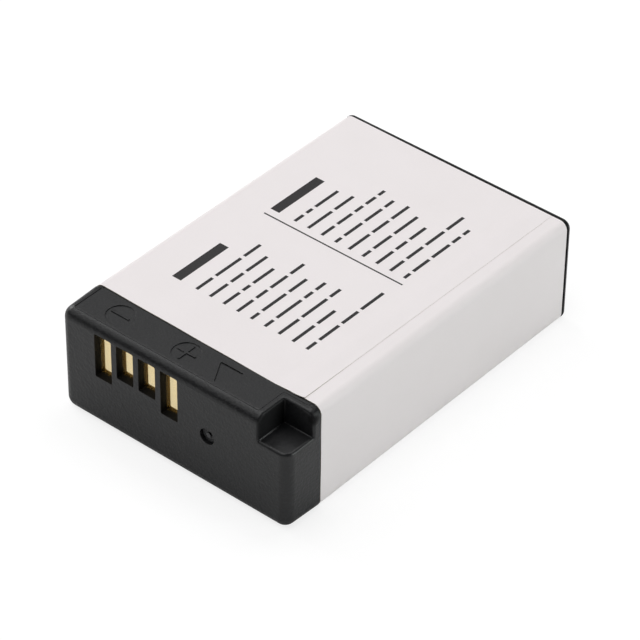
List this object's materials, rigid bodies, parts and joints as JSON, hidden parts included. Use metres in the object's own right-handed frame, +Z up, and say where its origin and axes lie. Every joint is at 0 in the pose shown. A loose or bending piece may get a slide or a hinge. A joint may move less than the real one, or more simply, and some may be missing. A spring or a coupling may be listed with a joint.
{
  "type": "camera battery",
  "caption": "Flat rectangular camera battery in a black moulded case, with recessed gold contacts and a keying notch at one end and a white film label wrapped round the rest.",
  "frame": {"origin": "centre of the broad face that the battery lies on", "axes": "+X across the width, with the keying notch on that side; +Y along the length, away from the terminal end; +Z up through the thickness"},
  "size_m": [0.033, 0.0494, 0.0141],
  "materials": {
    "black_plastic": "moulded, finely grained, satin",
    "label_film": "white printed-label film, satin, bare",
    "gold_plate": "gold-plated, bright",
    "board_laminate": "green solder-masked laminate",
    "chip_resin": "moulded epoxy with tinned leads",
    "passive_body": "fired ceramic with tinned ends",
    "cell_can": "drawn can, satin",
    "adhesive_tape": "double-sided adhesive tape",
    "fibre_sheet": "pressed insulating fibre",
    "foam_pad": "closed-cell foam",
    "nickel_strip": "rolled nickel strip"
  },
  "bodies": {
    "root": {"case_tub": "black_plastic", "case_cover": "black_plastic", "wrap_label": "label_film", "negative_contact": "gold_plate", "thermistor_contact": "gold_plate", "data_contact": "gold_plate", "positive_contact": "gold_plate", "circuit_board": "board_laminate", "protection_chip": "chip_resin", "switch_chip": "chip_resin", "identity_chip": "chip_resin", "sense_resistor": "passive_body", "board_fuse": "passive_body", "thermistor": "passive_body", "chip_resistors": "passive_body", "chip_capacitors": "passive_body", "lower_cell": "cell_can", "upper_cell": "cell_can", "cell_tape": "adhesive_tape", "base_tape": "adhesive_tape", "head_insulator": "fibre_sheet", "rear_pad": "foam_pad", "negative_strap": "nickel_strip", "middle_strap": "nickel_strip", "positive_strap": "nickel_strip"}
  },
  "joints": []
}
